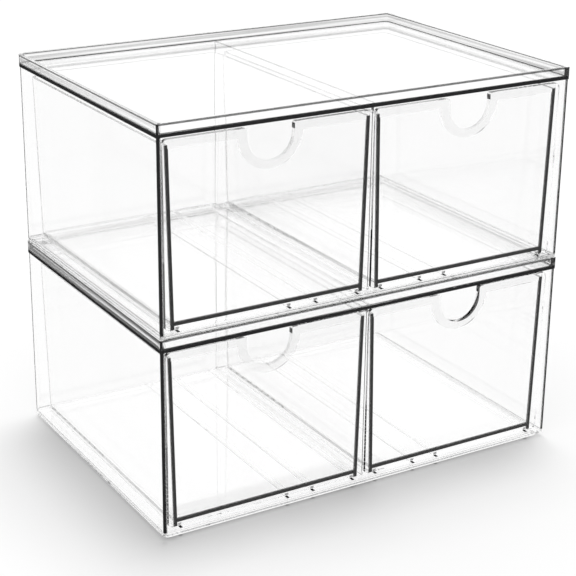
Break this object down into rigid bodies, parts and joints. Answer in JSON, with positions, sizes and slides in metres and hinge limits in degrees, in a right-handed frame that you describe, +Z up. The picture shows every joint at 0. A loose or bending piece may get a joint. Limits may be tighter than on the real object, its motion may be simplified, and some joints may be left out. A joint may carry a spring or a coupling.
{
  "type": "stacking drawer organizer",
  "caption": "Clear plastic make-up organizer: stacked open-front cabinets with shallow trays on top and pull-out drawers with U-shaped finger notches.",
  "frame": {"origin": "centre of the outline, at the surface the organizer stands on", "axes": "+Z up, -Y out of the open front, +X to the right as seen from the front"},
  "size_m": [0.305, 0.213, 0.2701],
  "materials": {
    "cabinet_plastic": "clear, polished",
    "drawer_plastic": "clear, polished"
  },
  "bodies": {
    "lower_cabinet": {"lower_base": "cabinet_plastic", "lower_shell": "cabinet_plastic", "lower_divider": "cabinet_plastic", "lower_top_tray": "cabinet_plastic"},
    "upper_cabinet": {"upper_base": "cabinet_plastic", "upper_shell": "cabinet_plastic", "upper_divider": "cabinet_plastic", "upper_top_tray": "cabinet_plastic"},
    "lower_left": {"lower_left_drawer": "drawer_plastic"},
    "lower_right": {"lower_right_drawer": "drawer_plastic"},
    "upper_left": {"upper_left_drawer": "drawer_plastic"},
    "upper_right": {"upper_right_drawer": "drawer_plastic"}
  },
  "joints": [
    {"name": "lower_left_slide", "type": "slide", "parent": "lower_cabinet", "child": "lower_left", "axis": [0, -1, 0], "range_m": [0, 0.15]},
    {"name": "lower_right_slide", "type": "slide", "parent": "lower_cabinet", "child": "lower_right", "axis": [0, -1, 0], "range_m": [0, 0.15]},
    {"name": "upper_left_slide", "type": "slide", "parent": "upper_cabinet", "child": "upper_left", "axis": [0, -1, 0], "range_m": [0, 0.15]},
    {"name": "upper_right_slide", "type": "slide", "parent": "upper_cabinet", "child": "upper_right", "axis": [0, -1, 0], "range_m": [0, 0.15]},
    {"name": "upper_unit_lift", "type": "slide", "parent": "lower_cabinet", "child": "upper_cabinet", "axis": [0, 0, 1], "range_m": [0, 0.1]}
  ]
}
